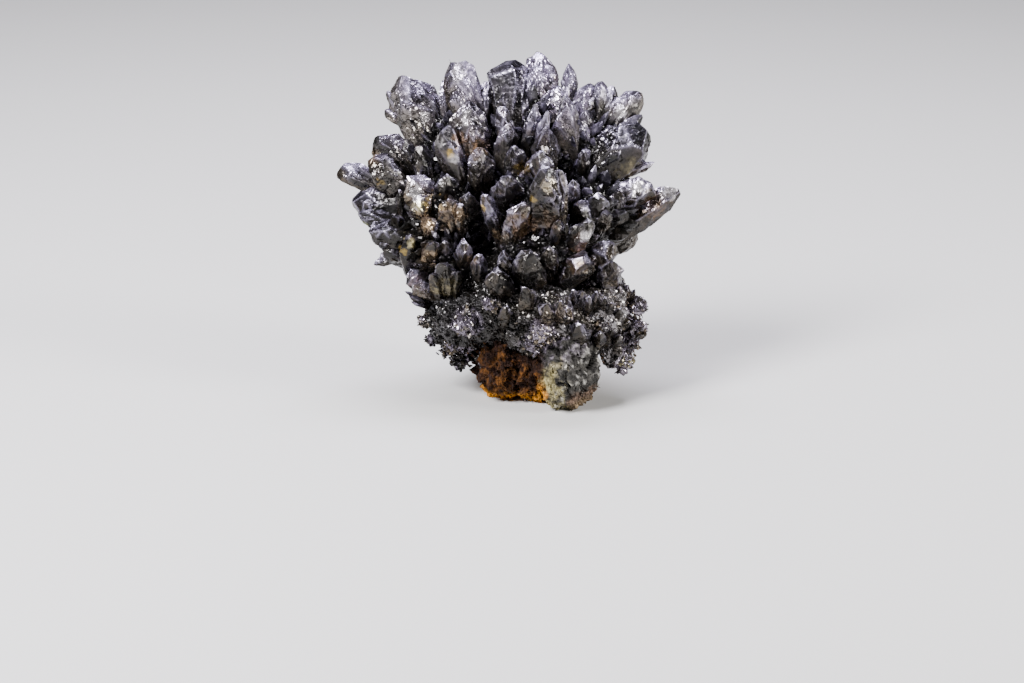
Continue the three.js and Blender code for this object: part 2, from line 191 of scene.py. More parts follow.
def makePiece(name, points, triangles, colours, material, node):
    # one mesh, with a colour at each point, that stands for a solid of the part
    mesh = bpy.data.meshes.new(name)
    mesh.vertices.add(len(points))
    mesh.vertices.foreach_set("co", ((points + toe) * mm).ravel())
    mesh.loops.add(triangles.size)
    mesh.polygons.add(len(triangles))
    mesh.polygons.foreach_set("loop_start", np.arange(0, triangles.size, 3))
    mesh.polygons.foreach_set("vertices", triangles.ravel())
    mesh.update(calc_edges=True)
    mesh.shade_flat()
    skin = mesh.color_attributes.new("skin", "FLOAT_COLOR", "POINT")
    skin.data.foreach_set("color", colours.ravel())
    piece = bpy.data.objects.new(name, mesh)
    bpy.context.scene.collection.objects.link(piece)
    mesh.materials.append(material)
    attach(piece, "root")
    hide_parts(node)
    print(name, len(triangles), "triangles")


growth = {
    "belly": 0.55,  # share of the visible length from the tip back to the widest place
    "shoulder": 0.14,
    "waist": 0.8,  # width at the root against the widest place
    "flatness": 0.82,
    "buried": 1.1,
    "spread": 1.22,  # how much wider the faces grow than the listed width
    "spacing": 0.29,  # between the points of the surface
    "coarse": 0.5,  # the same on the back
    "sideSpears": 7,  # grown together with the main one, half as many where it is slim
    "slim": 3.6,
    "rim": 0.36,  # how wide an edge catches the light
    "apart": (173, 91, 57),  # the farthest that a crystal's noise is moved, so that no two are alike
}


def frameOf(tip, root, turn):
    # the length and the axis of a crystal, and the directions of its width and its thickness: the width lies
    # level before it is turned about the axis
    axis = tip - root
    length = np.linalg.norm(axis)
    axis = axis / length
    across = np.array([axis[2], 0, -axis[0]])
    across /= np.linalg.norm(across)
    angle = math.radians(turn)
    across = across * math.cos(angle) + np.cross(axis, across) * math.sin(angle)
    return length, axis, across, np.cross(axis, across)


def spearFaces(half, long, blunt, offset, lean, setBack, random):
    # the flat faces of one spear: four about its tip, four above its widest place, four down to its root and
    # four upright ones that trim its edges. A face is met where across . normal = start + slope x back
    shoulder, belly = growth["shoulder"] * long, (growth["belly"] - 0.25 * blunt) * long
    zones = [
        (0, half * 0.4 * blunt, shoulder, half * (0.46 + 0.42 * blunt), 1),
        (shoulder, half * (0.48 + 0.42 * blunt), belly, half, 1),
        (belly, half, long, half * growth["waist"], 0),
    ]
    angles, starts, slopes = [], [], []
    for backOne, radiusOne, backTwo, radiusTwo, pivot in zones:
        slope = (radiusTwo - radiusOne) / (backTwo - backOne) * random.uniform(0.6, 1.35, 4)
        share = 0.73 * random.uniform(0.84, 1.1, 4)
        knee, radius = (backTwo, radiusTwo) if pivot else (backOne, radiusOne)
        angles.append(np.radians([40, 140, 220, 320]) + random.normal(0, 0.26, 4))
        starts.append(share * (radius - slope * knee))
        slopes.append(share * slope)
    angles.append(np.radians([0, 180, 90, 270]) + random.normal(0, 0.12, 4))
    starts.append(half * np.array([0.92, 0.92, 0.98, 0.98]) * random.uniform(0.88, 1.06, 4))
    slopes.append(random.uniform(-0.08, 0.08, 4))
    angle, start, slope = np.concatenate(angles), np.concatenate(starts), np.concatenate(slopes)
    normal = np.stack([np.cos(angle), np.sin(angle)], axis=1)
    start = start - slope * setBack + normal @ (offset - lean * setBack)
    return normal, start, slope + normal @ lean


def reach(directions, back, normals, starts, slopes, marks):
    # how far a ray from the axis goes before it leaves the last of the grown-together spears that it meets,
    # where a face lies at wall / facing. Also a number for the face it leaves by, and how near an edge it is
    facing = np.einsum("mc,kfc->kmf", directions, normals)[:, None]
    wall = (starts[:, None] + slopes[:, None] * back[None, :, None])[:, :, None]
    leaving = np.where(facing > 1e-3, wall / np.where(facing > 1e-3, facing, 1), np.inf)
    entering = np.where(facing < -1e-3, wall / np.where(facing < -1e-3, facing, 1), -np.inf).max(axis=3)
    leaves = leaving.min(axis=3)
    outer = np.where(leaves > np.maximum(entering, 0), leaves, 0)
    last = outer.argmax(axis=0)
    face = np.take_along_axis(leaving.argmin(axis=3), last[None], axis=0)[0]
    nextFace = np.take_along_axis(np.partition(leaving, 1, axis=3)[..., 1], last[None], axis=0)[0]
    r = outer.max(axis=0)
    return r, marks[last, face], np.clip(1 - (nextFace - r) / growth["rim"], 0, 1)


def grownTogether(half, long, blunt, many, random):
    # the faces of a main spear and of smaller ones round it: each stands on the body at its own height, and
    # leans in towards the axis
    spears = [spearFaces(half, long, blunt, np.zeros(2), np.zeros(2), 0, random)]
    for number in range(many):
        small = half * random.uniform(0.42, 0.76)
        smallLong = long * random.uniform(0.26, 0.5)
        setBack = long * random.uniform(0.06, 0.6)
        middle = setBack + 0.4 * smallLong
        body = half * np.interp(middle / long, [0, 0.4, 1, 1.4], [0.4, 0.86, 0.6, 0.4])
        way = (number + random.uniform(0.1, 0.9)) * 2 * math.pi / many
        way = np.array([math.cos(way), math.sin(way)])
        lean = -way * random.uniform(0, 0.12)
        offset = way * (body + half * random.uniform(-0.02, 0.2) - 0.78 * small) - lean * (middle - setBack)
        steep = random.uniform(0.2, 0.9)
        spears.append(spearFaces(small, smallLong, steep, offset + lean * setBack, lean, setBack, random))
    return [np.stack(values) for values in zip(*spears)]


def crystalGrid(crystal, random, spacing):
    # a grid round and along one crystal, in its own coordinates, with its directions in space. A crystal is
    # its tip, its root, its width, its turn about its axis in degrees, how blunt it is and how bright
    tip, root = np.array(crystal[:3], float), np.array(crystal[3:6], float)
    wide, turn, blunt = crystal[6] * growth["spread"], crystal[7], crystal[8]
    long, axis, across, depth = frameOf(tip, root, turn)
    columns = int(max(10, wide * 2.7 / spacing))
    rows = int(max(10, long * growth["buried"] / spacing))
    back = np.linspace(0.02, long * growth["buried"], rows)
    theta = np.arange(columns) * 2 * math.pi / columns
    directions = np.stack([np.cos(theta), np.sin(theta)], axis=1)
    many = growth["sideSpears"] if wide > growth["slim"] else growth["sideSpears"] // 2
    normals, starts, slopes = grownTogether(wide / 2, long, blunt, many, random)
    r, face, rim = reach(directions, back, normals, starts, slopes, random.random(starts.shape))
    lean = random.normal(0, 0.06 + 0.22 * blunt, 2)
    x = r * directions[:, 0]
    y = r * directions[:, 1]
    edge = back[:, None] + (lean[0] * x + lean[1] * y) * np.exp(-back[:, None] / (0.2 * long))
    return {
        "local": np.stack([x.ravel(), y.ravel(), edge.ravel()], axis=1), "end": edge[-1].mean(),
        "outward": np.tile(directions, (rows, 1)), "face": face.ravel(), "rim": rim.ravel(),
        "rows": rows, "columns": columns, "wide": wide, "long": long,
        "tip": tip, "axis": axis, "across": across, "depth": depth * growth["flatness"],
    }


crystalLook = {
    "broad": 2.2, "broadLean": 0.26,
    "small": 0.8, "smallLean": 0.16,
    "rib": 0.42, "ribHeight": 0.05,
    "pit": 0.12,
}


def roughness(p, size, grain, seed):
    # relief of a crystal: (broad facets + small facets + ribs along the axis - pits) x its size x how grainy
    # the face is. Also a number for each facet
    look = crystalLook
    broad, broadMark = facets(p, look["broad"], seed + 10)
    small, smallMark = facets(p, look["small"], seed + 20)
    ribs = clouds(p * np.array([1, 1, 0.12]), look["rib"], seed + 30)
    pits = ease(0.86, 0.9, broadMark) * look["pit"] + ease(0.8, 0.84, smallMark) * look["pit"] * 0.5
    relief = broad * look["broadLean"] + small * look["smallLean"] + ribs * look["ribHeight"] - pits
    return relief * np.clip(size / 5, 0.4, 1.1) * (0.08 + 0.9 * grain), 0.5 * broadMark + 0.5 * smallMark


def crystalMesh(crystals, seed, spacing):
    # all crystals of a piece: their grids are joined end to end, roughened together and set in place, at
    # tip - axis x back + across x x + depth x y
    random = np.random.default_rng(seed)
    grids, triangles, start = [], [], 0
    for crystal in crystals:
        g = crystalGrid(crystal, random, spacing)
        count = g["rows"] * g["columns"] + 2
        g["local"] = np.concatenate([[[0, 0, -0.02 * g["wide"]]], g["local"], [[0, 0, g["end"]]]])
        g["outward"] = np.concatenate([[[0, 0]], g["outward"], [[0, 0]]])
        g["face"] = np.concatenate([[0.5], g["face"], [0.5]])
        g["rim"] = np.concatenate([[1], g["rim"], [0]])
        g["share"] = g["local"][:, 2] / g["long"]
        g["mark"] = random.random()
        # how bright: partly the crystal's own tone, partly painted light and shade
        g["bright"] = crystal[9]
        g["rough"] = np.clip(0.2 + 0.34 * crystal[9] + random.normal(0, 0.13), 0.2 + 0.025 * g["wide"], 1)
        for part in ("mark", "bright", "rough", "wide"):
            g[part] = np.full(count, g[part])
        for part in ("tip", "axis", "across", "depth"):
            g[part] = np.broadcast_to(g[part], (count, 3))
        grids.append(g)
        triangles.append(gridFaces(g["rows"], g["columns"], start))
        start += count
    (local, outward, tip, axis, across, depth, face, rim, share, mark, bright, rough, wide) = (
        np.concatenate([g[part] for g in grids]) for part in (
            "local", "outward", "tip", "axis", "across", "depth", "face", "rim", "share", "mark", "bright",
            "rough", "wide"))
    grain = np.clip(rough * (0.55 + 1.05 * (face * 7 % 1)), 0, 1) * ease(1.2, 0.75, share)
    apart = local + mark[:, None] * np.array(growth["apart"], float)
    relief, tone = roughness(apart, wide, grain, seed)
    local[:, :2] += outward * relief[:, None]
    points = tip - axis * local[:, 2:3] + across * local[:, 0:1] + depth * local[:, 1:2]
    up = (across * outward[:, 0:1] + depth * outward[:, 1:2])[:, 2]
    return points, np.concatenate(triangles), {
        "share": share, "tone": tone, "up": up, "face": face, "rim": rim, "grain": grain, "bright": bright,
    }


smallKinds = {
    "stout": {
        "angles": [20, 90, 160, 200, 270, 340],
        "along": [0.02, 0.3, 0.62, 1.0],
        "share": [0.12, 0.74, 1, 0.8],
    },
    "tiny": {
        "angles": [10, 95, 185, 280],
        "along": [0.1, 0.6],
        "share": [0.62, 1],
    },
}


def manySpears(tips, roots, wide, kind, random):
    # small crystals as one array: a slim body in a few rings, each at tip - axis x back, with its points at
    # side x cosine + depth x sine of their angles
    axis = tips - roots
    long = np.linalg.norm(axis, axis=1, keepdims=True)
    axis = axis / long
    side = unit(np.cross(axis, random.normal(0, 1, axis.shape)))
    depth = np.cross(axis, side)
    angle, along, share = (np.array(kind[part]) for part in ("angles", "along", "share"))
    section = np.stack([np.cos(np.radians(angle)), 0.62 * np.sin(np.radians(angle))], axis=1)
    many, rows, columns = len(tips), len(along), len(angle)
    uneven = random.uniform(0.82, 1.15, (many, rows, columns))
    size = wide[:, None, None] * 0.5 * share[None, :, None] * uneven
    u = size * section[:, 0]
    v = size * section[:, 1]
    back = long[:, :, None] * along[None, :, None]
    rings = (tips[:, None, None] - axis[:, None, None] * back[..., None]
             + side[:, None, None] * u[..., None] + depth[:, None, None] * v[..., None])
    count = rows * columns + 2
    points = np.concatenate([tips[:, None], rings.reshape(many, count - 2, 3), roots[:, None]], axis=1)
    one = gridFaces(rows, columns, 0)
    triangles = (one[None] + (np.arange(many) * count)[:, None, None]).reshape(-1, 3)
    share = np.tile(np.concatenate([[0], np.repeat(along, columns), [1]]), many)
    mark = np.repeat(random.random(many), count)
    chance = random.random(many * count)
    return points.reshape(-1, 3), triangles, {
        # the tips take a little of the painted rim highlight
        "share": share, "up": np.repeat(axis[:, 2], count), "face": chance, "rim": (share < 0.01) * 0.2,
        "grain": np.full(many * count, 0.4), "tone": 0.5 * mark + 0.5 * chance,
        "bright": 0.5 + 1.1 * mark * mark,
    }


def spiral(count):
    # points spread evenly over a ball: equal steps in height, turned by the golden angle
    up = 1 - 2 * (np.arange(count) + 0.5) / count
    ring = np.sqrt(1 - up * up)
    turn = np.arange(count) * goldenAngle
    return np.stack([np.cos(turn) * ring, np.sin(turn) * ring, up], axis=1)


def lumpMesh(lumps, spacing, relief, seed):
    # balls with three radii each, moved along the outward direction, ball / radii, by a relief in space
    points, triangles, start = [], [], 0
    for lump in lumps:
        middle, radii = np.array(lump[:3], float), np.array(lump[3:6], float)
        columns = int(2 * math.pi * radii.max() / spacing)
        rows = int(math.pi * radii.max() / spacing)
        down = np.linspace(0.02, math.pi - 0.02, rows)[:, None]
        around = np.arange(columns) * 2 * math.pi / columns
        ball = np.stack([np.sin(down) * np.cos(around), np.sin(down) * np.sin(around),
                         np.cos(down) * np.ones(columns)], axis=2).reshape(-1, 3)
        ball = np.concatenate([[[0, 0, 1]], ball, [[0, 0, -1]]])
        place = middle + ball * radii
        points.append(place + unit(ball / radii) * relief(place, seed)[:, None])
        triangles.append(gridFaces(rows, columns, start)[:, ::-1])
        start += rows * columns + 2
    return np.concatenate(points), np.concatenate(triangles)


# tints of the stains; "bright" is no stain but a painted highlight where a facet catches the light
tints = {
    "gold": (0.34, 0.23, 0.05), "tan": (0.24, 0.165, 0.095), "paleYellow": (0.46, 0.4, 0.2),
    "rust": (0.2, 0.11, 0.045), "moss": (0.2, 0.22, 0.03), "bright": (0.6, 0.57, 0.58),
    "cream": (0.62, 0.52, 0.36), "brown": (0.1, 0.055, 0.025), "olive": (0.12, 0.1, 0.05),
    "mauve": (0.26, 0.19, 0.22),
}

crystalSkin = {
    "grey": (0.078, 0.069, 0.06),
    "violet": (0.145, 0.127, 0.2),  # painted violet light on what looks up
    "olive": (0.075, 0.053, 0.028),  # painted shade: an olive tint below, where a face looks down
    "dark": (0.008, 0.007, 0.0065),  # painted shade at the root, between the crowded crystals
    "paintedRimLight": (0.48, 0.44, 0.6),  # painted highlight on the edges
    "front": 34,  # stains and painted glints lie in front of this depth
}


def crystalColours(points, notes, stainsAndGlints, seed):
    # grey with painted violet light where a face looks up, an olive tint of painted shade below, painted
    # shade lower down, where a face looks down and at the root, a painted pale highlight on edges that look
    # up near the tip, and stains and painted glints at their places. Each is blended in by an eased sum of
    # how far up a face looks, how high it lies, how near the tip, and a cloud
    cloud = clouds(points, 7, seed + 50) + 0.6 * clouds(points, 2.2, seed + 60)
    colour = np.tile(np.array(crystalSkin["grey"]), (len(points), 1))
    height = ease(18, 68, points[:, 2])
    # painted light: violet where a face looks up, lies high and is near the tip
    paintedTopLight = ease(-0.2, 1.1, notes["up"] + 0.5 * cloud + 0.8 * (0.3 - notes["share"]) + 0.9 * (height - 0.6))
    colour = blend(colour, crystalSkin["violet"], 0.8 * paintedTopLight)
    # painted shade: olive where a face looks down and lies low
    low = ease(-0.3, 0.9, -notes["up"] + 0.6 * cloud + 0.5 * (notes["share"] - 0.3) + 0.4 * (0.5 - height))
    colour = blend(colour, crystalSkin["olive"], 0.75 * low)
    # painted shade: darker lower down and where a face looks down
    colour *= ((0.62 + 0.55 * height) * (0.6 + 0.8 * ease(-0.5, 0.9, notes["up"] + 0.3 * cloud)))[:, None]
    mottle = 1 + (notes["tone"] - 0.5) * (0.7 + 1.9 * notes["grain"])
    colour *= mottle[:, None] * (0.35 + 1.4 * notes["face"])[:, None] * notes["bright"][:, None]
    # painted highlight: pale violet on edges that look up, near the tip
    paintedRimLight = notes["rim"] * ease(-0.5, 0.6, notes["up"] + 0.5 * cloud) * ease(0.9, 0.2, notes["share"])
    colour = blend(colour, crystalSkin["paintedRimLight"], 0.7 * paintedRimLight)
    # painted shade: near black towards the root
    colour = blend(colour, crystalSkin["dark"], 0.85 * ease(0.7, 1.0, notes["share"]))
    fleck = 0.7 * clouds(points, 0.7, seed + 70) + 0.5 * clouds(points, 1.6, seed + 80)
    takesMarks = (points[:, 1] < crystalSkin["front"]) * (notes["share"] < 0.9)
    # stains, and painted glints where the tint is "bright"
    for x, z, radius, tint, strength in stainsAndGlints:
        away = np.hypot(points[:, 0] - x, points[:, 2] - z) / (1.3 * radius)
        share = ease(1.1, 0.6, away + 0.9 * fleck) * strength * (0.5 + 0.5 * (notes["face"] * 5 % 1 > 0.3))
        tinted = np.array(tints[tint]) * (0.2 + 1.6 * notes["tone"])[:, None]
        colour = blend(colour, tinted, share * takesMarks)
    return np.concatenate([colour, notes["grain"][:, None]], axis=1)


def ranged(tree, value, low, high):
    # low + (high - low) x value
    node = tree.nodes.new("ShaderNodeMapRange")
    node.inputs["To Min"].default_value = low
    node.inputs["To Max"].default_value = high
    tree.links.new(value, node.inputs["Value"])
    return node.outputs[0]


def times(tree, colour, factor):
    # a colour x a value
    node = tree.nodes.new("ShaderNodeMix")
    node.data_type = "RGBA"
    node.blend_type = "MULTIPLY"
    node.inputs["Factor"].default_value = 1
    tree.links.new(colour, node.inputs["A"])
    tree.links.new(factor, node.inputs["B"])
    return node.outputs["Result"]


def combined(tree, kind, operation, first, second):
    # two values or two vectors, put together by one operation
    node = tree.nodes.new(kind)
    node.operation = operation
    tree.links.new(first, node.inputs[0])
    if isinstance(second, tuple):
        node.inputs[1].default_value = second
    else:
        tree.links.new(second, node.inputs[1])
    isValue = kind == "ShaderNodeMath" or operation == "DOT_PRODUCT"
    return node.outputs["Value" if isValue else "Vector"]


def newFinish(name, scale):
    # a material, its tree and its shader, the colours that come with a piece, its place, and cells in it
    material = bpy.data.materials.new(name)
    material.use_nodes = True
    tree = material.node_tree
    skin = tree.nodes.new("ShaderNodeAttribute")
    skin.attribute_name = "skin"
    place = tree.nodes.new("ShaderNodeTexCoord")
    cells = tree.nodes.new("ShaderNodeTexVoronoi")
    cells.inputs["Scale"].default_value = scale
    tree.links.new(place.outputs["Object"], cells.inputs["Vector"])
    return material, tree, tree.nodes["Principled BSDF"], skin, place, cells


crystalFinishes = {
    "metallic": 0.75,
    "ior": 1.9,
    "gloss": (0.13, 0.27),  # from cell to cell
    "dull": (0.2, -0.1),  # added where a face is smooth, and where it is grainy
    "shade": (0.75, 1.25),
    "descloizite": {"scale": 1300, "lean": (0.08, 0.46)},  # of the cells, on a smooth and on a grainy face
    "druse": {"scale": 2400, "lean": (0.25, 0.6)},
}


def crystalFinish(name):
    # a dark, half-metallic skin. Its gloss and its shade vary from cell to cell, and its bump's height is
    # (place - the cell's middle) . (the cell's colour - a half)
    look, cell = crystalFinishes, crystalFinishes[name]
    material, tree, shader, skin, place, cells = newFinish(name, cell["scale"])
    shader.inputs["Metallic"].default_value = look["metallic"]
    shader.inputs["IOR"].default_value = look["ior"]
    split = tree.nodes.new("ShaderNodeSeparateColor")
    tree.links.new(cells.outputs["Color"], split.inputs[0])
    gloss = ranged(tree, split.outputs[0], *look["gloss"])
    dull = ranged(tree, skin.outputs["Alpha"], *look["dull"])
    tree.links.new(combined(tree, "ShaderNodeMath", "ADD", gloss, dull), shader.inputs["Roughness"])
    shade = ranged(tree, split.outputs[1], *look["shade"])
    tree.links.new(times(tree, skin.outputs["Color"], shade), shader.inputs["Base Color"])
    vector = "ShaderNodeVectorMath"
    within = combined(tree, vector, "SUBTRACT", place.outputs["Object"], cells.outputs["Position"])
    lean = combined(tree, vector, "SUBTRACT", cells.outputs["Color"], (0.5, 0.5, 0.5))
    bump = tree.nodes.new("ShaderNodeBump")
    bump.inputs["Distance"].default_value = 1
    tree.links.new(ranged(tree, skin.outputs["Alpha"], *cell["lean"]), bump.inputs["Strength"])
    tree.links.new(combined(tree, vector, "DOT_PRODUCT", within, lean), bump.inputs["Height"])
    tree.links.new(bump.outputs[0], shader.inputs["Normal"])
    return material


descloizite = crystalFinish("descloizite")
druse = crystalFinish("druse")
print("finishes made")

# Each crystal: the column, row and depth of its tip, the same of the root of its visible part, its width in
# pixels, its turn about its axis in degrees, how blunt it is, from 0 to 1, and how bright, which is partly
# its own tone and partly painted light and shade. Each stain or painted glint: its column, row, depth,
# radius in pixels, tint and strength; the tint "bright" is a painted highlight. Each knob: its column, row,
# depth and
# radius in pixels. Each lump: its middle and three radii. A sheaf also has the crystals of the back whose x
# is between two values.
leftSheaf = {
    "seed": 11,
    "between": (-99, -7),
    "core": [(-14, 27.5, 51, 9.5, 5.5, 11), (-15.5, 23.5, 40, 10.5, 8.5, 10), (-16, 18, 34, 7, 6, 5),
             (-5, 23, 38, 3.5, 5, 8)],
    "crystals": crystalsAt([
        (342, 168, 28, 378, 188, 25.5, 24, 15, 0.7, 0.55),
        (352, 203, 25, 397, 207, 22, 34, 40, 0.55, 0.2),
        (358, 214, 21, 405, 221, 20, 27, 20, 0.5, 0.2),
        (368, 231, 17.5, 410, 234, 18, 28, 30, 0.5, 0.22),
        (379, 245, 16, 407, 251, 19, 17, 0, 0.5, 0.3),
        (374, 265, 17, 401, 253, 19, 14, 0, 0.4, 0.45),
        (373, 159, 21.5, 403, 187, 23, 34, 35, 0.9, 0.8),
        (381, 137, 25, 408, 167, 25, 32, 0, 0.8, 0.8),
        (402, 77, 30, 428, 148, 28, 48, -12, 0.5, 1),
        (385, 110, 29, 403, 122, 27, 13, 20, 0.5, 1),
        (424, 83, 32, 437, 116, 29, 21, 15, 0.7, 0.9),
        (442, 81, 30, 447, 126, 27.5, 14, 30, 0.4, 1.1),
        (449, 59, 31, 475, 115, 28, 42, 10, -0.15, 1.15),
        (459, 87, 27, 464, 122, 26, 24, 20, 0.35, 1),
        (470, 103, 24, 471, 160, 25, 38, 5, 0.2, 1.1),
        (442, 131, 20, 462, 192, 23, 31, 25, 0.7, 0.5),
        (482, 148, 18, 478, 193, 21.5, 27, 0, 0.7, 0.65),
        (406, 139, 24, 416, 172, 25, 23, -15, 0.6, 0.6),
        (419, 146, 22, 429, 186, 24, 25, 10, 0.6, 0.5),
        (413, 181, 17, 425, 206, 21, 32, 30, 0.85, 2.2),
        (400, 191, 17, 403, 216, 20, 12, 10, 0.6, 0.5),
        (417, 198, 15, 431, 222, 19, 29, 10, 0.8, 1.1),
        (446, 178, 16, 445, 212, 21, 25, 15, 0.45, 0.5),
        (449, 201, 12, 451, 243, 19, 25, 20, 0.75, 0.95),
        (427, 219, 12.5, 435, 243, 17, 21, 0, 0.8, 0.9),
        (468, 196, 15, 473, 230, 20, 23, -10, 0.8, 0.45),
        (459, 205, 12.5, 461, 232, 17, 17, 10, 0.6, 0.5),
        (409, 238, 12.5, 414, 267, 18, 22, 25, 0.85, 0.6),
        (430, 243, 9.5, 430, 270, 17, 20, 30, 0.95, 0.9),
        (444, 243, 11, 448, 274, 17, 16, 10, 0.7, 0.5),
        (385, 249, 16, 407, 261, 19, 22, 15, 0.5, 0.9),
        (387, 91, 30, 405, 125, 28, 12, 20, 0.4, 0.9),
        (487, 82, 29, 483, 122, 27, 16, 0, 0.4, 0.7),
        (393, 218, 17, 410, 238, 21, 18, 10, 0.6, 0.4),
        (452, 238, 14, 455, 262, 19, 14, 0, 0.7, 0.45),
        (387, 91, 30, 405, 125, 27, 12, 20, 0.4, 1),
        (487, 82, 29, 483, 122, 26, 16, 0, 0.4, 0.7),
        (460, 205, 12.5, 460, 235, 15, 15, 10, 0.5, 0.5),
    ]),
    # stains, and painted glints with the tint "bright"
    "stainsAndGlints": stainsAndGlintsAt([
        (372, 160, 21, 5, "tan", 0.6), (459, 140, 20, 5, "rust", 0.5),
        (450, 152, 20, 3, "gold", 0.8), (479, 154, 17, 7, "tan", 0.7),
        (418, 205, 15, 6, "paleYellow", 0.6), (433, 206, 14, 8, "gold", 0.6),
        (425.5, 223.5, 12, 10, "tan", 0.75), (449.5, 215.5, 12.5, 12, "tan", 0.6),
        (403, 253, 12, 3, "gold", 0.7), (410, 243, 12, 4, "paleYellow", 0.6),
        (429, 256, 10, 8, "tan", 0.5), (365, 223, 21, 3, "moss", 0.7),
        (382, 182, 19, 3.5, "gold", 0.6), (484, 216, 9, 3, "gold", 0.5),
        (414, 191, 17, 8, "bright", 0.75), (436, 88, 31, 4, "bright", 0.5),
        (458, 69, 31, 7, "bright", 0.5), (468, 114, 25, 5, "bright", 0.6),
        (435, 140, 20, 5, "bright", 0.7), (454, 160.5, 19, 5, "bright", 0.3),
        (482, 160, 16, 4, "bright", 0.6), (425, 116, 28, 5, "bright", 0.4),
    ]),
}

centreSheaf = {
    "seed": 22,
    "between": (-7, 12),
    "core": [(4, 28, 54, 8.5, 5, 13), (5, 22, 43, 9.5, 8.5, 9.5), (7.5, 16, 35, 10, 8, 6.5)],
    "crystals": crystalsAt([
        (508, 63, 30, 512, 126, 28, 46, 10, 1, 0.26),
        (541, 54, 33, 542, 104, 29, 34, 12, 0.5, 1.15),
        (569, 65, 33, 568, 112, 29, 16, 0, 0.3, 1),
        (554, 86, 29, 557, 120, 26, 27, 25, 0.8, 1.4),
        (509, 123, 21, 504, 168, 23, 24, 20, 0.3, 0.8),
        (514, 146, 18, 519, 182, 21, 22, -10, 0.6, 0.6),
        (537, 104, 24, 526, 152, 24, 16, 30, 0.3, 0.65),
        (549, 111, 22, 536, 160, 23.5, 13, 10, 0.3, 0.6),
        (566, 99, 24, 572, 176, 26, 31, 8, 0.5, 0.95),
        (545, 127, 17, 545, 170, 21.5, 29, 28, 0.2, 0.42),
        (540, 152, 13, 540, 182, 17, 24, 0, 0.5, 0.5),
        (546, 168, 6.5, 548, 238, 13.5, 34, 20, 0.75, 0.42),
        (561, 171, 9, 561, 228, 15, 18, 0, 0.8, 0.8),
        (509, 176, 13, 506, 212, 18, 29, 0, 0.5, 0.35),
        (485, 195, 10.5, 502, 247, 16, 17, 15, 0.7, 0.45),
        (523, 204, 8, 511, 249, 14, 26, 0, 0.8, 0.8),
        (590, 222, 8, 565, 262, 13, 22, 20, 0.8, 0.5),
        (574, 181, 15, 573, 209, 18, 15, 10, 0.7, 0.45),
        (503, 107, 24, 508, 146, 24.5, 22, 20, 0.6, 0.45),
        (521, 100, 26, 521, 137, 26.5, 22, 0, 0.9, 0.5),
        (537, 82, 30, 541, 116, 28, 14, 20, 0.4, 1.1),
        (529, 74, 29, 528, 113, 27, 15, 0, 0.3, 0.7),
        (557, 221, 7, 555, 248, 12, 13, 10, 0.6, 0.8),
        (578, 226, 8.5, 563, 256, 13, 16, 10, 0.8, 0.5),
        (566, 224, 8, 560, 252, 13, 12, 10, 0.7, 0.5),
        (541, 81, 30, 541, 116, 27, 13, 20, 0.4, 1.1),
        (528, 73, 29, 528, 113, 26, 14, 0, 0.3, 0.8),
        (557, 221, 7, 555, 248, 11, 12, 10, 0.4, 0.7),
    ]),
    # stains, and painted glints with the tint "bright"
    "stainsAndGlints": stainsAndGlintsAt([
        (523, 168, 17, 6, "gold", 0.5), (533, 196, 10, 3, "gold", 0.7),
        (482, 208, 11, 3, "gold", 0.7), (496, 243, 9, 6, "tan", 0.5),
        (520, 228, 8, 12, "brown", 0.7), (577, 250, 8, 13, "brown", 0.45),
        (547.5, 184, 7, 5, "cream", 0.4), (547, 222, 7, 9, "brown", 0.5),
        (537, 89, 32, 6, "bright", 0.5), (557, 94, 30, 6, "bright", 0.5),
        (581, 106, 27, 5, "bright", 0.6), (587, 236, 8, 5, "bright", 0.6),
        (603, 224, 11, 4, "bright", 0.7),
    ]),
}

rightSheaf = {
    "seed": 33,
    "between": (12, 99),
    "core": [(16.5, 27.5, 52, 8.5, 5, 9.5), (17.5, 23, 41, 8, 7, 8.5)],
    "crystals": crystalsAt([
        (589, 84, 31, 577, 138, 29, 32, 10, 0.45, 0.85),
        (601, 82, 31, 598, 132, 29, 21, 0, 0.8, 0.6),
        (612, 87, 31, 603, 132, 29, 18, 20, 0.7, 0.6),
        (637, 92, 30, 611, 130, 28, 32, -10, 0.75, 0.8),
        (642, 116, 27, 599, 145, 26, 16, 0, 0.8, 0.38),
        (647, 131, 26, 593, 172, 26, 51, 12, 0.75, 0.2),
        (655, 163, 26, 619, 174, 25, 14, 12, 0.2, 0.8),
        (653, 186, 22, 608, 198, 23, 29, 15, 0.75, 0.4),
        (678, 190, 25, 602, 236, 25, 30, 0, 0.45, 0.45),
        (620, 191, 19, 610, 224, 21, 22, 25, 0.7, 0.45),
        (586, 111, 26, 583, 157, 26, 25, 10, 0.6, 0.7),
        (640, 200, 22, 601, 215, 23, 19, 0, 0.6, 0.5),
        (598, 196, 13, 600, 222, 17, 21, 0, 0.7, 0.4),
        (575, 205, 13, 594, 226, 17, 24, 0, 0.7, 0.4),
        (606, 214, 13, 600, 232, 17, 18, 20, 0.8, 1.1),
        (626, 212, 18, 600, 226, 20, 20, 10, 0.6, 0.4),
        (585, 150, 20, 584, 178, 23, 14, 10, 0.5, 0.45),
    ]),
    # stains, and painted glints with the tint "bright"
    "stainsAndGlints": stainsAndGlintsAt([
        (620, 106, 30, 6, "bright", 0.5), (637, 186, 22, 6, "bright", 0.8),
        (668, 190, 24, 7, "bright", 0.75), (655, 212, 18, 12, "brown", 0.5),
        (630, 165, 24, 8, "olive", 0.4),
    ]),
}

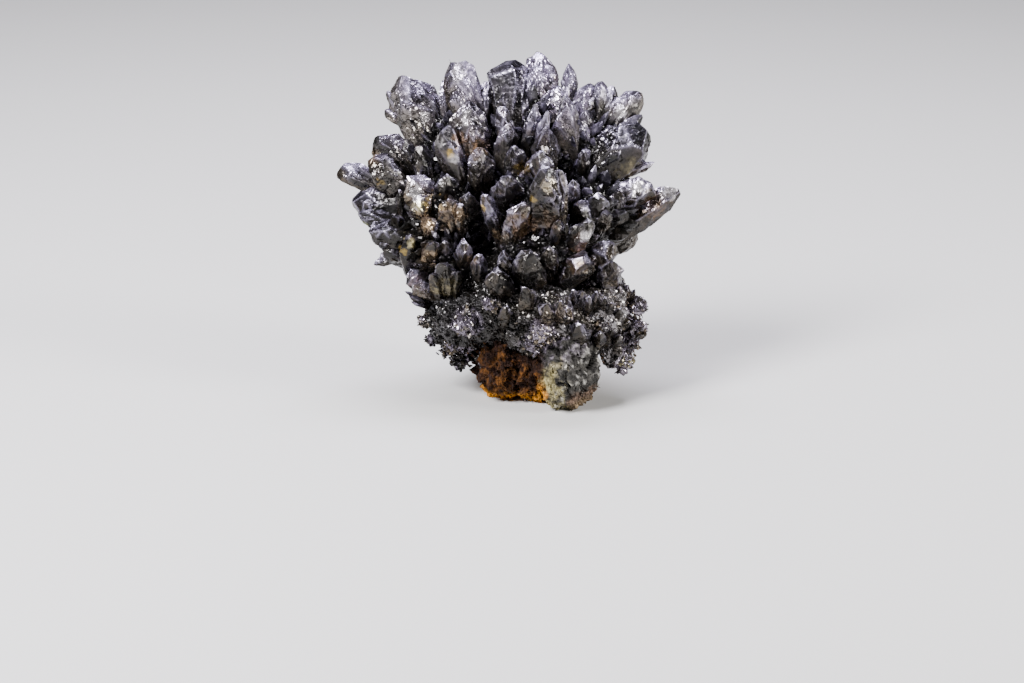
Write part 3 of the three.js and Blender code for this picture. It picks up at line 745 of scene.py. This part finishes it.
trunk = {
    "seed": 44,
    "lumps": [
        (1, 22, 21, 19, 15, 12.5), (-11.5, 18, 18.5, 8, 8.5, 9), (19, 15.5, 21, 8, 9, 9),
        (23, 15, 12.5, 3.6, 4.4, 6), (7.5, 9.5, 20, 11.5, 6.5, 8.5),
    ],
    "knobs": knobsAt([
        (636, 306, 14, 11), (636, 328, 14, 11), (629, 344, 14, 11), (624, 361, 14, 10),
        (622, 368, 13.5, 7), (423, 321, 17, 6), (433, 340, 17, 7), (446, 350, 17, 7),
        (461, 360, 16, 10.5), (459, 346, 15.5, 12.6), (485, 361, 14, 8), (467, 324, 9, 13),
        (491, 305, 6, 9), (541, 332, 3, 12), (532, 346, 4, 10.5),
    ]),
    "crystals": crystalsAt([
        (614, 245, 9, 593, 270, 13, 27, 10, 0.7, 0.9),
        (587, 260, 6, 564, 284, 12, 32, 0, 0.8, 0.6),
        (528, 254, 3, 529, 286, 10, 31, 0, 0.7, 0.45),
        (549, 248, 4.5, 552, 278, 11, 20, 10, 0.6, 0.8),
        (503, 252, 5, 509, 286, 12, 20, 30, 0.3, 0.7),
        (464, 243, 10, 463, 272, 15, 18, 0, 0.7, 0.6),
        (611, 262, 8, 604, 296, 14, 27, 0, 0.7, 0.8),
        (496, 273, 4.5, 505, 300, 11.5, 29, 0, 0.6, 0.7),
        (526, 288, 1.2, 530, 320, 9.6, 21, 20, 0.4, 0.9),
        (546, 303, 0.7, 550, 334, 8.6, 21, -25, 0.2, 1.3),
        (561, 302, 0.7, 566, 332, 8.6, 21, 25, 0.2, 1.3),
        (413, 286, 10.5, 436, 296, 15.5, 19, 0, 0.7, 1.5),
        (432, 275, 9.5, 440, 300, 15, 16, 0, 0.6, 0.6),
        (447, 264, 9, 448, 298, 15, 22, 0, 0.8, 0.7),
        (457, 273, 9.5, 455, 300, 15, 14, 10, 0.7, 0.6),
        (410, 297, 12, 428, 303, 16, 6, 10, 0.3, 0.5),
        (412, 303, 12.5, 429, 308, 16, 6, 40, 0.3, 0.5),
        (405, 292, 12.5, 425, 300, 16.5, 6, -20, 0.3, 0.5),
        (406, 284, 14, 432, 272, 18, 22, 20, 0.6, 0.3),
        (478, 255, 9, 480, 283, 14, 17, 0, 0.6, 0.45),
        (577, 324, 2.2, 580, 346, 8, 23, -30, 0.5, 0.35),
        (574, 290, 1.2, 576, 316, 8.8, 10, 10, 0.5, 0.9),
        (566, 296, 1.2, 572, 317, 8.8, 9, -20, 0.5, 0.9),
        (583, 292, 1.7, 579, 316, 8.8, 10, 30, 0.5, 0.8),
        (590, 297, 2.2, 586, 318, 9.8, 9, 10, 0.5, 0.8),
        (597, 292, 2.7, 592, 316, 10.8, 10, -10, 0.5, 0.9),
        (605, 297, 3.2, 598, 318, 11.8, 10, 20, 0.5, 0.9),
        (612, 303, 4.2, 604, 322, 11.8, 10, 10, 0.5, 1),
        (620, 309, 6.2, 610, 326, 12.8, 11, -15, 0.5, 0.9),
        (621, 286, 10.2, 616, 304, 13.8, 10, 10, 0.4, 1.3),
        (629, 285, 12.5, 620, 304, 15.5, 10, -20, 0.4, 1.3),
        (636, 290, 13, 624, 306, 16, 10, 10, 0.4, 1.2),
        (612, 290, 9.7, 611, 306, 13.8, 10, 30, 0.4, 1.1),
        (641, 297, 13, 628, 309, 16, 9, 0, 0.4, 1.2),
        (505, 308, 1.2, 505, 328, 8.8, 15, 20, 0.7, 0.8),
        (600, 334, 4.2, 597, 350, 11.8, 14, 0, 0.7, 0.8),
        (610, 330, 6.2, 605, 346, 12.8, 12, 20, 0.6, 0.9),
        (620, 335, 7.2, 612, 350, 13.8, 12, 0, 0.6, 0.9),
    ]),
    "stainsAndGlints": stainsAndGlintsAt([
        (447, 289, 9, 11, "olive", 0.6), (628, 366, 12, 6, "paleYellow", 0.6),
        (470, 262, 10, 4, "tan", 0.4), (415, 285, 11, 6, "mauve", 0.35),
        (420, 280, 11, 6, "mauve", 0.25), (575, 262, 6, 9, "brown", 0.4),
    ]),
    # the pale violet of the knobs is painted light
    "crust": {"spacing": 0.56, "pale": (0.13, 0.122, 0.125), "dark": (0.025, 0.021, 0.017),
              "knob": (0.2, 0.17, 0.22), "grain": 0.8},
    "druse": {"wide": (0.5, 1.25), "long": (0.05, 0.7), "pitch": 1.85, "blades": 7},
    "lit": (-11, 20),  # painted light: from left to right the crust and its druse grow lighter
}


def dice(seed):
    # the same numbers as the solids use, so that the crystals on the back grow where the solids have theirs
    full = 0xFFFFFFFF
    state = seed * 2654435761 & full

    def roll():
        # the state moves on by one odd step, and is stirred into a number from 0 to 1
        nonlocal state
        state = (state + 0x6D2B79F5) & full
        t = (state ^ (state >> 15)) * (1 | state) & full
        t = ((t + (t ^ (t >> 7)) * (61 | t)) & full) ^ t
        return ((t ^ (t >> 14)) & full) / 4294967296
    return roll


dome = {
    "middle": (1, 27, 33),
    "reach": (33, 17.2, 35),
    "turns": 50,
    "top": 0.96,  # height of the first crystal, as a share of the reach
    "drop": 1.12,  # how much lower the last one is
    "behind": 0.13,  # crystals less far back than this are left out
    "heart": (1, 24, 26),  # small crystals lean away from here
}


def backCrystals():
    # crystals on a spiral over the back of the dome, at middle + direction x reach x swell: the lower they
    # are, the less they spread to the sides
    roll = dice(7)
    found = []
    for i in range(dome["turns"]):
        up = dome["top"] - dome["drop"] * (i + 0.5) / dome["turns"]
        ring = math.sqrt(1 - up * up)
        side = math.cos(i * goldenAngle) * ring * (0.86 + 0.3 * up)
        back = math.sin(i * goldenAngle) * ring
        swell = 0.94 + 0.1 * roll()
        wide = 6.2 + 3 * roll()
        turn = 90 * roll() - 45
        blunt = 0.4 + 0.5 * roll()
        if back >= dome["behind"]:
            way = np.array([side, back, up])
            tip = np.array(dome["middle"]) + way * dome["reach"] * swell
            bright = 0.55 + 0.7 * (i * 0.618 % 1)
            found.append((*tip, 1 + side * 17, 24 + back * 7, 31 + up * 20, wide, turn, blunt, bright))
    return found


coreLook = {
    "spacing": 0.7,
    # painted shade: the core lumps are near black, as the shade between the crystals
    "colour": (0.012, 0.011, 0.011, 1.0),
    "small": 100,  # small crystals on each lump
    "wide": (1.8, 3.6),
    "long": (1, 4),
    # painted shade: the small crystals on the core are darkened to a quarter
    "shade": 0.25,
}


def coreRelief(p, seed):
    # facets and a quarter as much cloud
    return facets(p, 2.2, seed)[0] * 0.9 + 0.25 * clouds(p, 1.1, seed + 1)


def fillers(lumps, seed):
    # small crystals that stand on lumps and lean the way the whole fan spreads: outwards + 0.9 x away from
    # the heart + a little chance
    random = np.random.default_rng(seed)
    tips, roots = [], []
    for lump in lumps:
        middle, radii = np.array(lump[:3], float), np.array(lump[3:6], float)
        way = spiral(coreLook["small"])
        foot = middle + way * radii
        normal = unit(way / radii)
        fan = unit(foot - dome["heart"])
        lean = unit(normal + 0.9 * fan + random.normal(0, 0.28, normal.shape))
        height = random.uniform(*coreLook["long"], (coreLook["small"], 1))
        tips.append(foot + lean * height)
        roots.append(foot - lean * 1.2)
    tips, roots = np.concatenate(tips), np.concatenate(roots)
    wide = random.uniform(*coreLook["wide"], len(tips))
    return manySpears(tips, roots, wide, smallKinds["stout"], random)


def sheafCore(sheaf):
    # the lumps in the middle of a sheaf, and the small crystals that stand on them, both darkened near black
    # as painted shade between the crystals
    points, triangles = lumpMesh(sheaf["core"], coreLook["spacing"], coreRelief, sheaf["seed"])
    shade = np.tile(coreLook["colour"], (len(points), 1))
    smallPoints, smallTriangles, notes = fillers(sheaf["core"], sheaf["seed"])
    tint = crystalColours(smallPoints, notes, sheaf["stainsAndGlints"], sheaf["seed"])
    # painted shade
    tint[:, :3] *= coreLook["shade"]
    return [(points, triangles, shade), (smallPoints, smallTriangles, tint)]


def growCrystals(name, node, crystals, stainsAndGlints, seed, spacing, extra=()):
    # a piece of crystals, and of any further (points, triangles, colours), joined end to end
    points, triangles, notes = crystalMesh(crystals, seed, spacing)
    meshes = [(points, triangles, crystalColours(points, notes, stainsAndGlints, seed)), *extra]
    starts = np.cumsum([0] + [len(mesh[0]) for mesh in meshes])
    triangles = np.concatenate([mesh[1] + start for mesh, start in zip(meshes, starts)])
    points, colours = (np.concatenate([mesh[part] for mesh in meshes]) for part in (0, 2))
    makePiece(name, points, triangles, colours, descloizite, node)


def growSheaf(name, sheaf):
    # the crystals that are seen from the front, and those on the back with the core
    node = name + "_sheaf"
    low, high = sheaf["between"]
    behind = [crystal for crystal in backCrystals() if low <= crystal[0] < high]
    growCrystals(name + "Front", node, sheaf["crystals"], sheaf["stainsAndGlints"], sheaf["seed"], growth["spacing"])
    growCrystals(name + "Back", node, behind, [], sheaf["seed"] + 1, growth["coarse"], sheafCore(sheaf))


for name, sheaf in (("left", leftSheaf), ("centre", centreSheaf), ("right", rightSheaf)):
    growSheaf(name, sheaf)
growCrystals("trunkSpears", "drusy_trunk", trunk["crystals"], trunk["stainsAndGlints"], trunk["seed"],
             growth["spacing"])
print("crystals grown")


def crustRelief(p, seed):
    # round knobs with creases between them, 0.4 - |cloud| in two sizes, and small flat breaks
    knobs = 1.5 * (0.4 - np.abs(clouds(p, 3.2, seed + 1))) + 0.7 * (0.4 - np.abs(clouds(p, 1.4, seed + 2)))
    return knobs + facets(p, 0.9, seed)[0] * 0.7 + 0.15 * clouds(p, 0.5, seed + 3) - 0.6


def nearCrystal(foot):
    # True where a larger crystal of the trunk already stands: by the distance to the axis of each
    near = np.zeros(len(foot), bool)
    for crystal in trunk["crystals"]:
        tip, root = np.array(crystal[:3]), np.array(crystal[3:6])
        along = np.clip((foot - root) @ (tip - root) / ((tip - root) @ (tip - root)), 0, 1)
        away = np.linalg.norm(foot - root - along[:, None] * (tip - root), axis=1)
        near |= away < 0.55 * crystal[6]
    return near


def nearKnob(p, rough):
    # 1 on a knob, falling to 0 a little outside it, by the distance to the nearest one
    away = np.min([np.linalg.norm(p - knob[:3], axis=1) - knob[3] for knob in trunk["knobs"]], axis=0)
    return ease(1.2, 0.4, away + rough)


def inAnother(foot, lumps, lump):
    # True inside a lump other than its own: where the square of its place over the radii is under 0.9
    inside = np.zeros(len(foot), bool)
    for other in lumps:
        if other is not lump:
            inside |= (((foot - other[:3]) / other[3:6]) ** 2).sum(axis=1) < 0.9
    return inside


def bundles(lumps, seed):
    # little fans of crystals that share a foot, one for each pitch x pitch of the lumps' surface, and larger
    # where a cloud is thick
    kind = trunk["druse"]
    random = np.random.default_rng(seed)
    tips, roots, wides = [], [], []
    for lump in lumps:
        middle, radii = np.array(lump[:3], float), np.array(lump[3:6], float)
        area = 4 * math.pi * (radii[0] * radii[1] + radii[1] * radii[2] + radii[0] * radii[2]) / 3
        many = int(area / kind["pitch"] ** 2)
        way = unit(spiral(many) + random.normal(0, 0.02, (many, 3)))
        foot = middle + way * radii * 0.96
        normal = unit(way / radii)
        bare = ~(inAnother(foot, lumps, lump) | nearCrystal(foot))
        foot, normal = foot[bare], normal[bare]
        thick = ease(-0.5, 0.5, clouds(foot, 3.2, seed + 5))
        grow = random.uniform(0.6, 1.2, len(foot)) * (0.55 + 0.75 * thick)
        lean = normal + random.normal(0, 0.35, normal.shape)
        for blade in range(kind["blades"]):
            way = unit(lean + random.normal(0, 0.42, normal.shape))
            high = random.uniform(*kind["long"], len(foot)) * grow
            start = foot + random.normal(0, 0.35, foot.shape) - normal * 0.25
            tips.append(start + way * high[:, None])
            roots.append(start - way * 0.8)
            wides.append(random.uniform(*kind["wide"], len(foot)) * grow)
    tips, roots, wides = np.concatenate(tips), np.concatenate(roots), np.concatenate(wides)
    above = tips[:, 2] > 0.3
    return manySpears(tips[above], roots[above], wides[above], smallKinds["tiny"], random)


def growCrust(lumps):
    # the body of the trunk and its knobs: dark and pale in patches by a cloud, with painted light lighter to
    # the right and, in a pale violet, on the knobs
    look = trunk["crust"]
    body, faces = lumpMesh(lumps, look["spacing"], crustRelief, 71)
    cloud = clouds(body, 3, 72) + 0.5 * clouds(body, 0.7, 75)
    shade = blend(np.tile(look["pale"], (len(body), 1)), look["dark"], ease(-0.5, 0.4, cloud))
    # painted light: lighter to the right
    shade *= (0.3 + 1.4 * ease(*trunk["lit"], body[:, 0]))[:, None]
    # painted light on the knobs
    shade = blend(shade, look["knob"], 0.6 * nearKnob(body, 0.6 * cloud))
    shade = np.concatenate([shade, np.full((len(body), 1), look["grain"])], axis=1)
    makePiece("trunkCrust", body, faces, shade, druse, "drusy_trunk")


def growDruse(lumps):
    # the smallest crystals, all over the body and its knobs: brighter in patches, with painted light to the
    # right and on the knobs, and painted shade towards the bottom
    points, triangles, notes = bundles(lumps, 73)
    patch = 0.22 + 1.5 * ease(-0.5, 0.6, clouds(points, 3.6, 76))
    knobs = nearKnob(points, 0.5 * clouds(points, 1.2, 77) - 0.4)
    # painted shade: darker towards the bottom
    low = 0.4 + 0.6 * ease(7, 20, points[:, 2])
    # painted light: lighter to the right and on the knobs
    lit = 0.25 + 1.75 * ease(*trunk["lit"], points[:, 0]) + 1.6 * knobs
    notes["bright"] = notes["bright"] * patch * low * lit
    tint = crystalColours(points, notes, trunk["stainsAndGlints"], 74)
    makePiece("trunkDruse", points, triangles, tint, druse, "drusy_trunk")


crustLumps = trunk["lumps"] + [(*knob, knob[3], knob[3]) for knob in trunk["knobs"]]
growCrust(crustLumps)
growDruse(crustLumps)
print("crust grown")

rock = {
    "lumps": [
        (2.8, 24, 7.5, 12, 13, 11),
        (12.2, 7.6, 9.5, 6.8, 6.3, 10.2),
        (-2.6, 13.4, 7.5, 4.6, 5, 8),
        (5.4, 11.6, 6.6, 4, 4.4, 7.2),
        (8.8, 6.2, 14.6, 3.8, 3.6, 3.8),
        (15.2, 7.5, 10.5, 3.8, 4, 5),
        (9.4, 5.0, 8.4, 3.6, 3.4, 4.6),
    ],
    "spacing": 0.46,
    "brown": (0.017, 0.0062, 0.0018),
    "ochre": (0.07, 0.026, 0.004),
    "orange": (0.4, 0.16, 0.01),
    "grey": (0.035, 0.033, 0.03),
    "cream": (0.22, 0.19, 0.09),
    "pink": (0.12, 0.075, 0.05),
    "mauve": (0.15, 0.125, 0.165),
    "chalk": (0.3, 0.29, 0.27),
    "creamPatch": (9.1, 8, 3),  # x, z and radius
    "roughness": 0.7,
    "shine": 0.15,
    "grains": 1900,
    "speckle": (0.45, 1.55),
    "bump": -0.0004,
}


def rockRelief(p, seed):
    # lumps and flat breaks on the foot, and deep creases, -|cloud|, in the iron crust beside it
    breaks = facets(p, 2.6, seed)[0] * 1.1 + facets(p, 0.8, seed + 8)[0] * 1.0
    crust = ease(8.5, 6.5, p[:, 0] + 0.25 * (p[:, 2] - 8))
    crease = -1.1 * np.abs(clouds(p, 1.5, seed + 4)) - 0.6 * np.abs(clouds(p, 0.6, seed + 5))
    relief = breaks + 0.9 * clouds(p, 4.0, seed + 1) + 0.35 * clouds(p, 0.9, 96)
    return relief + crust * (0.5 + crease)


def ironColours(p, cloud, fleck):
    # iron oxide on the lobes: red-brown above, and orange along the lower rim and beside the foot
    colour = np.tile(rock["brown"], (len(p), 1))
    colour = blend(colour, rock["ochre"], ease(0.1, 1.1, cloud + 0.3 + 0.5 * fleck))
    rim = ease(3.4, 1.2, p[:, 2] + 1.4 * cloud) + ease(5.2, 6.4, p[:, 0]) * ease(9, 5, p[:, 2] + 1.5 * cloud)
    return blend(colour, rock["orange"], np.clip(rim * (1 + 0.5 * fleck), 0, 1))


def footColours(p, cloud):
    # grey with a cream patch in the middle and one below, pink at the lower right, and mauve above
    grains = 0.8 * clouds(p, 0.8, 95) + 0.7 * clouds(p, 1.3, 96)
    x, z, radius = rock["creamPatch"]
    away = np.hypot(p[:, 0] - x, (p[:, 2] - z) * 0.6) / radius
    patch = ease(-0.1, 0.7, 1.05 - away + 0.5 * cloud + 0.7 * grains)
    patch = np.maximum(patch, ease(3.4, 1.4, p[:, 2] + cloud) * 0.9)
    pale = blend(np.tile(rock["grey"], (len(p), 1)), rock["cream"], patch)
    pale = blend(pale, rock["pink"], 0.75 * ease(12, 14, p[:, 0] + cloud) * ease(6, 3.5, p[:, 2] + cloud))
    upper = ease(10.5, 14, p[:, 2] - 0.4 * (p[:, 0] - 9) + cloud)
    pale = blend(pale, rock["mauve"], 0.8 * upper * ease(-0.3, 0.5, grains))
    pale = blend(pale, rock["chalk"], 0.7 * ease(0.35, 0.7, grains) * ease(8, 11, p[:, 0]))
    return pale * (0.35 + 0.9 * ease(-0.9, 0.1, grains))[:, None]


def rockColours(p):
    # the iron crust with the foot blended in at the front right, times a fleck
    cloud = clouds(p, 2.6, 91) + 0.6 * clouds(p, 0.9, 92)
    fleck = clouds(p, 0.5, 93)
    foot = ease(6.4, 7.8, p[:, 0] + 0.7 * cloud + 0.12 * (p[:, 2] - 8)) * ease(17, 12, p[:, 1])
    colour = blend(ironColours(p, cloud, fleck), footColours(p, cloud), foot)
    colour *= (1 + 0.45 * fleck)[:, None]
    return np.concatenate([np.clip(colour, 0.003, 0.9), np.ones((len(p), 1))], axis=1)


def earthFinish():
    # a dull, grainy skin: each grain's own shade times the colour, and a bump that sinks between the grains
    material, tree, shader, skin, place, cells = newFinish("ironStainedRock", rock["grains"])
    shader.inputs["Roughness"].default_value = rock["roughness"]
    shader.inputs["Specular IOR Level"].default_value = rock["shine"]
    speckle = ranged(tree, cells.outputs["Color"], *rock["speckle"])
    tree.links.new(times(tree, skin.outputs["Color"], speckle), shader.inputs["Base Color"])
    bump = tree.nodes.new("ShaderNodeBump")
    bump.inputs["Distance"].default_value = rock["bump"]
    tree.links.new(cells.outputs["Distance"], bump.inputs["Height"])
    tree.links.new(bump.outputs[0], shader.inputs["Normal"])
    return material


def growRock():
    # the lumps, cut off flat at the ground
    points, triangles = lumpMesh(rock["lumps"], rock["spacing"], rockRelief, 81)
    points[:, 2] = np.maximum(points[:, 2], 0)
    makePiece("footRock", points, triangles, rockColours(points), earthFinish(), "matrix_rock")


growRock()
print("rock grown")

studio = {
    "floor": {"half": 3, "colour": (0.5, 0.5, 0.495, 1), "roughness": 0.85},
    "aim": (0, 0, 0.04),  # all places and sizes here are in metres
    "lights": {  # place, size, power and colour
        "keyLeft": ((-0.34, -0.26, 0.46), (0.19, 0.28), 12.0, (1.0, 0.98, 1.0)),
        "keyRight": ((0.50, -0.18, 0.20), (0.14, 0.34), 6.0, (1.0, 0.98, 0.95)),
        "top": ((0.0, 0.16, 0.5), (0.4, 0.16), 5.5, (0.9, 0.88, 1.0)),
    },
    "room": {"colour": (0.9, 0.9, 0.92, 1), "strength": 0.04},
}


def setFloor():
    # one square, at the level of the ground
    half = studio["floor"]["half"]
    mesh = bpy.data.meshes.new("floor")
    corners = [(-half, -half, 0), (half, -half, 0), (half, half, 0), (-half, half, 0)]
    mesh.from_pydata(corners, [], [(0, 1, 2, 3)])
    floor = bpy.data.objects.new("floor", mesh)
    bpy.context.scene.collection.objects.link(floor)
    paint = bpy.data.materials.new("palePaper")
    paint.use_nodes = True
    shader = paint.node_tree.nodes["Principled BSDF"]
    shader.inputs["Base Color"].default_value = studio["floor"]["colour"]
    shader.inputs["Roughness"].default_value = studio["floor"]["roughness"]
    mesh.materials.append(paint)


def softLight(name, place, size, power, colour):
    # a rectangle that faces the cluster
    data = bpy.data.lights.new(name, "AREA")
    data.shape = "RECTANGLE"
    data.size, data.size_y = size
    data.energy = power
    data.color = colour
    lamp = bpy.data.objects.new(name, data)
    lamp.location = place
    way = Vector(studio["aim"]) - Vector(place)
    lamp.rotation_euler = way.to_track_quat("-Z", "Y").to_euler()
    bpy.context.scene.collection.objects.link(lamp)


def setRoom():
    # an even, faint light from all round
    world = bpy.data.worlds.new("room")
    world.use_nodes = True
    background = world.node_tree.nodes["Background"]
    background.inputs["Color"].default_value = studio["room"]["colour"]
    background.inputs["Strength"].default_value = studio["room"]["strength"]
    bpy.context.scene.world = world


setFloor()
for name, light in studio["lights"].items():
    softLight(name, *light)
setRoom()
print("floor and lights set")
